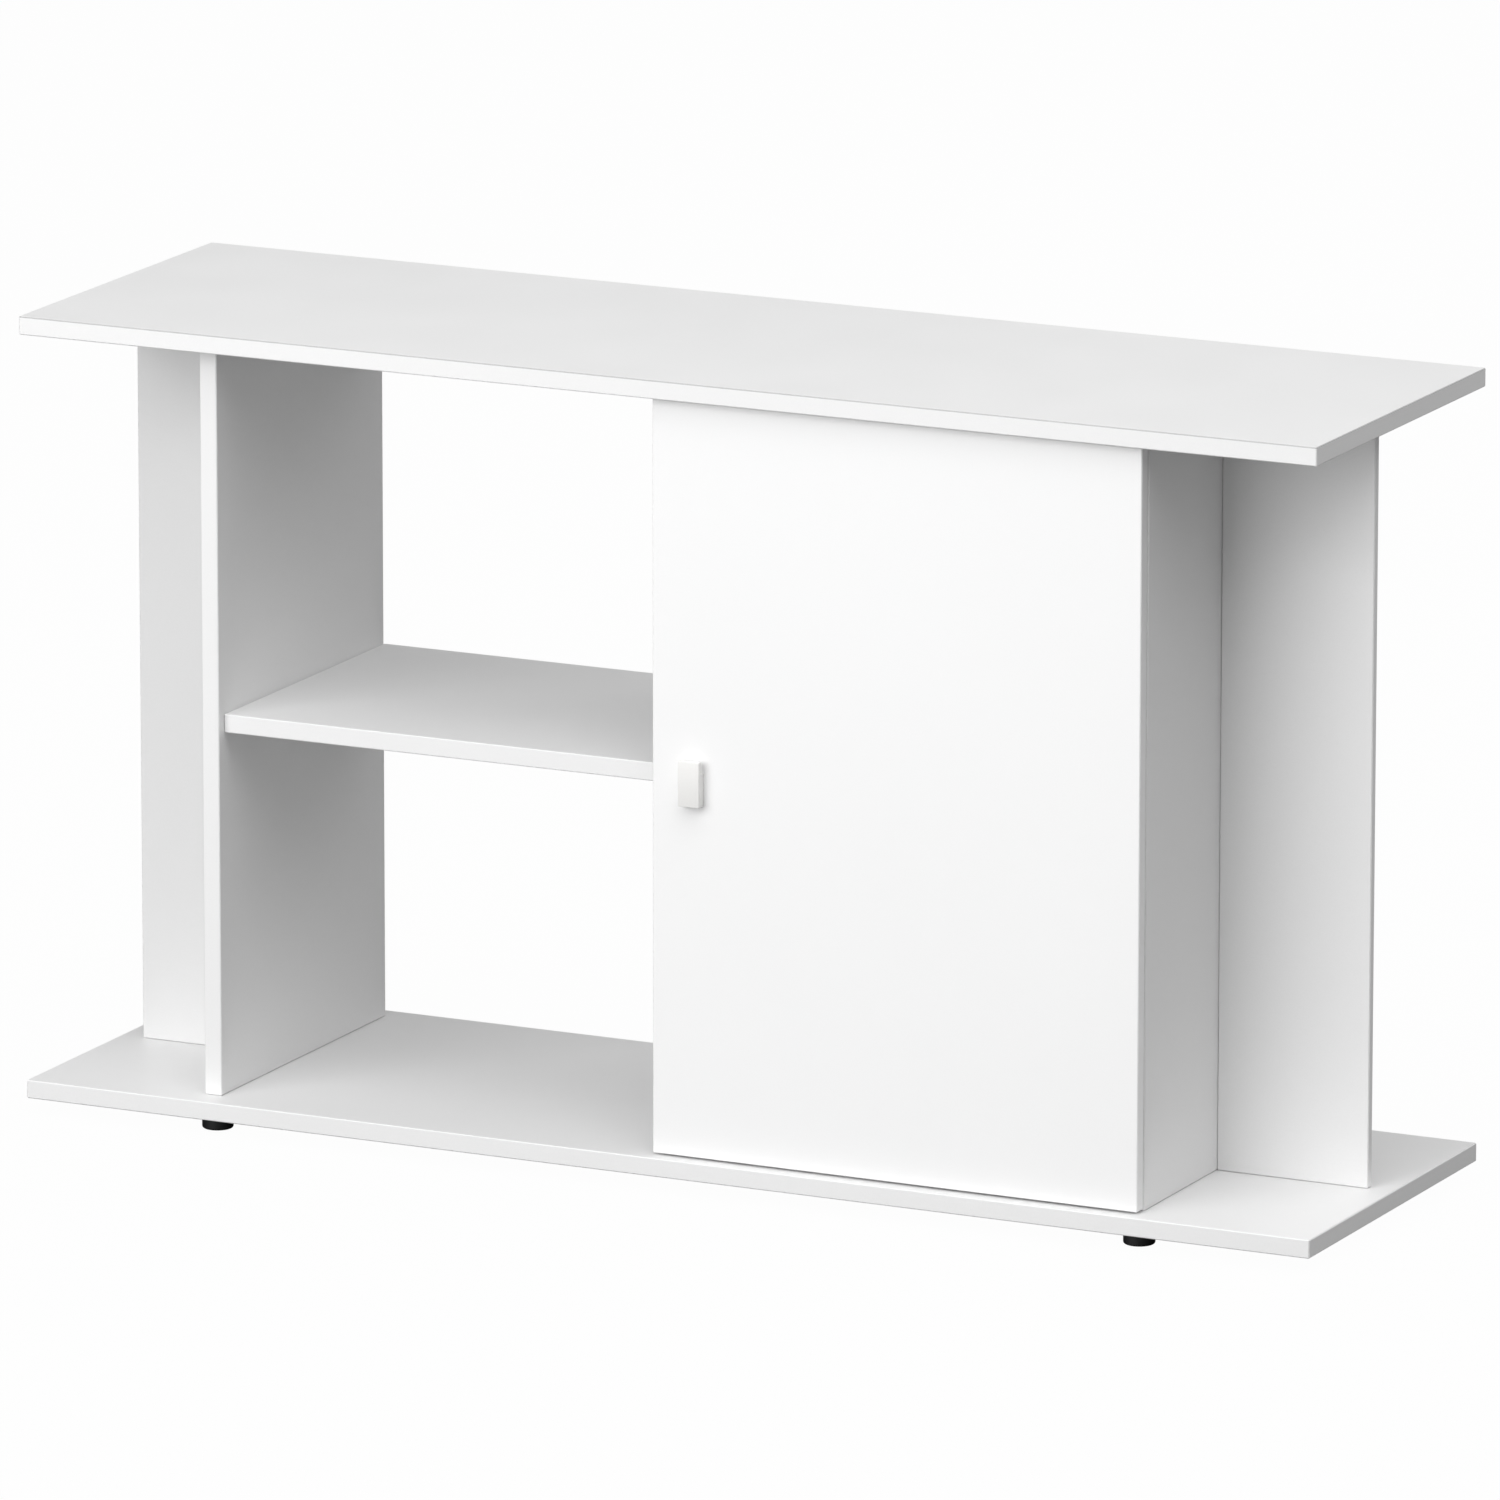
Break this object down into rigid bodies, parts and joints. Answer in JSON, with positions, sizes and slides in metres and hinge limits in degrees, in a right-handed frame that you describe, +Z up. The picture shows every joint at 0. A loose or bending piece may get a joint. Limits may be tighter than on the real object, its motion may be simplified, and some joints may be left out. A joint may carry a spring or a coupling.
{
  "type": "aquarium stand cabinet",
  "caption": "White board cabinet stand for an aquarium: open shelved bay on the left, hinged door on the right, overhanging top and base with a fin at each end, on low round feet.",
  "frame": {"origin": "on the floor under the middle of the cabinet", "axes": "+X along the width towards the door side, +Z up, -Y the front"},
  "size_m": [1.2, 0.35, 0.698],
  "materials": {
    "white_board": "satin white melamine-faced chipboard with matching edge bands",
    "white_knob": "smooth white",
    "black_plastic": "moulded black",
    "zinc": "bright zinc plating",
    "steel": "plain bright steel",
    "clear_rubber": "translucent soft buffer"
  },
  "bodies": {
    "carcass": {"top_board": "white_board", "base_board": "white_board", "left_side_panel": "white_board", "middle_partition": "white_board", "right_side_panel": "white_board", "left_fin": "white_board", "right_fin": "white_board", "open_shelf": "white_board", "inner_shelf": "white_board", "back_board": "white_board", "shelf_pin_1": "steel", "shelf_pin_2": "steel", "shelf_pin_3": "steel", "shelf_pin_4": "steel", "cam_lock_1": "zinc", "cam_lock_2": "zinc", "cam_lock_3": "zinc", "cam_lock_4": "zinc", "cam_lock_5": "zinc", "cam_lock_6": "zinc", "base_screw_1": "zinc", "base_screw_2": "zinc", "base_screw_3": "zinc", "base_screw_4": "zinc", "base_screw_5": "zinc", "base_screw_6": "zinc", "foot_socket_1": "zinc", "foot_socket_2": "zinc", "foot_socket_3": "zinc", "foot_socket_4": "zinc", "lower_hinge_arm": "zinc", "lower_hinge_plate": "zinc", "lower_arm_screw": "zinc", "upper_hinge_arm": "zinc", "upper_hinge_plate": "zinc", "upper_arm_screw": "zinc", "hinge_plate_screw_1": "zinc", "hinge_plate_screw_2": "zinc", "hinge_plate_screw_3": "zinc", "hinge_plate_screw_4": "zinc"},
    "door": {"door": "white_board", "door_knob": "white_knob", "knob_screw": "zinc", "upper_door_buffer": "clear_rubber", "lower_door_buffer": "clear_rubber", "lower_hinge_cup": "zinc", "upper_hinge_cup": "zinc", "hinge_cup_screw_1": "zinc", "hinge_cup_screw_2": "zinc", "hinge_cup_screw_3": "zinc", "hinge_cup_screw_4": "zinc"},
    "upper_outer_link": {"upper_outer_link": "steel"},
    "upper_inner_link": {"upper_inner_link": "steel"},
    "lower_outer_link": {"lower_outer_link": "steel"},
    "lower_inner_link": {"lower_inner_link": "steel"},
    "foot_1": {"foot_1": "black_plastic"},
    "foot_2": {"foot_2": "black_plastic"},
    "foot_3": {"foot_3": "black_plastic"},
    "foot_4": {"foot_4": "black_plastic"}
  },
  "joints": [
    {"name": "upper_outer_link_turn", "type": "hinge", "parent": "carcass", "child": "upper_outer_link", "pos_m": [0.4035, -0.1335, 0], "axis": [0, 0, 1], "range_deg": [-17, 0]},
    {"name": "upper_inner_link_turn", "type": "hinge", "parent": "carcass", "child": "upper_inner_link", "pos_m": [0.417, -0.1501, 0], "axis": [0, 0, 1], "range_deg": [-34, 0]},
    {"name": "lower_outer_link_turn", "type": "hinge", "parent": "carcass", "child": "lower_outer_link", "pos_m": [0.4035, -0.1335, 0], "axis": [0, 0, 1], "range_deg": [-17, 0]},
    {"name": "lower_inner_link_turn", "type": "hinge", "parent": "carcass", "child": "lower_inner_link", "pos_m": [0.417, -0.1501, 0], "axis": [0, 0, 1], "range_deg": [-34, 0]},
    {"name": "door_swing", "type": "hinge", "parent": "upper_outer_link", "child": "door", "pos_m": [0.4321, -0.1537, 0], "axis": [0, 0, 1], "range_deg": [0, 108.7]},
    {"name": "foot_1_height", "type": "slide", "parent": "carcass", "child": "foot_1", "axis": [0, 0, -1], "range_m": [0, 0.008]},
    {"name": "foot_2_height", "type": "slide", "parent": "carcass", "child": "foot_2", "axis": [0, 0, -1], "range_m": [0, 0.008]},
    {"name": "foot_3_height", "type": "slide", "parent": "carcass", "child": "foot_3", "axis": [0, 0, -1], "range_m": [0, 0.008]},
    {"name": "foot_4_height", "type": "slide", "parent": "carcass", "child": "foot_4", "axis": [0, 0, -1], "range_m": [0, 0.008]}
  ],
  "couplings": [
    {"joint": "upper_outer_link_turn", "follows": "door_swing", "ratio": -0.15398},
    {"joint": "lower_outer_link_turn", "follows": "door_swing", "ratio": -0.15398},
    {"joint": "upper_inner_link_turn", "follows": "door_swing", "ratio": -0.30795},
    {"joint": "lower_inner_link_turn", "follows": "door_swing", "ratio": -0.30795}
  ]
}
